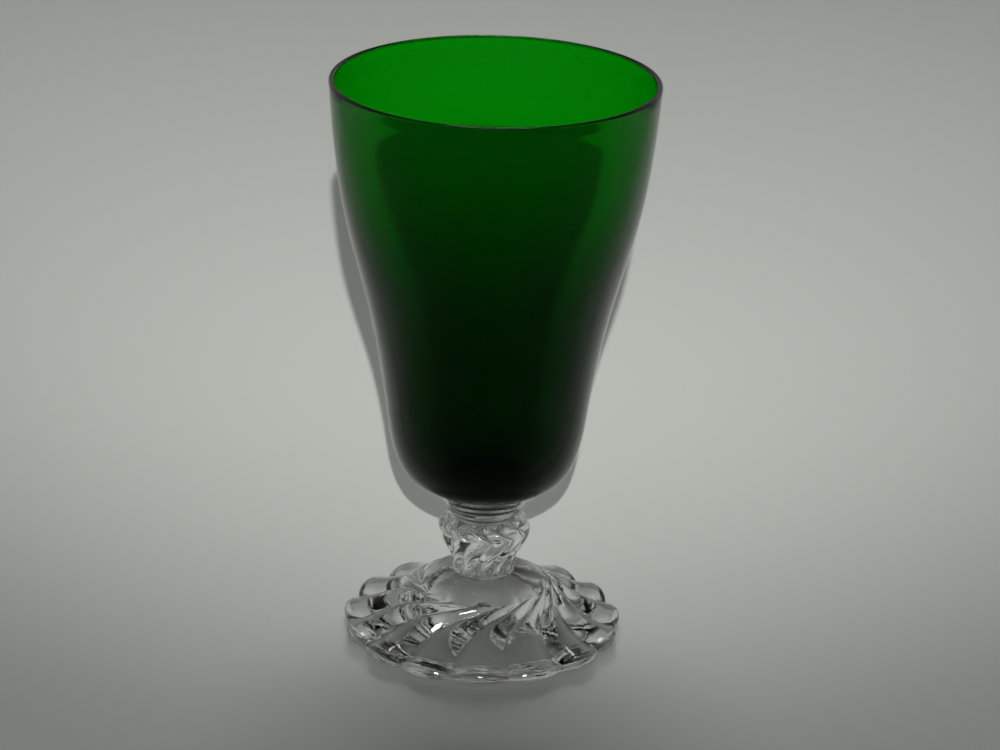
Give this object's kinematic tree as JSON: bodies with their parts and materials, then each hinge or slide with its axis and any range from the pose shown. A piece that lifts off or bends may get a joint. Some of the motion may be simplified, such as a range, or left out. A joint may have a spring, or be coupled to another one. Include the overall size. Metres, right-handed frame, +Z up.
{
  "type": "footed juice tumbler",
  "caption": "Footed juice tumbler: flared green glass bowl on a clear collar, swirl-fluted knop stem and scalloped, swirl-ribbed foot, for serving small drinks.",
  "frame": {"origin": "centre of the resting plane under the foot", "axes": "+Z up along the axis of the glass; -Y faces the viewer"},
  "size_m": [0.065, 0.065, 0.1175],
  "materials": {
    "clear_glass": "clear pressed glass, fire polished",
    "green_glass": "deep green blown glass, fire polished"
  },
  "bodies": {
    "root": {"foot": "clear_glass", "knop_stem": "clear_glass", "collar": "clear_glass", "bowl": "green_glass"}
  },
  "joints": []
}
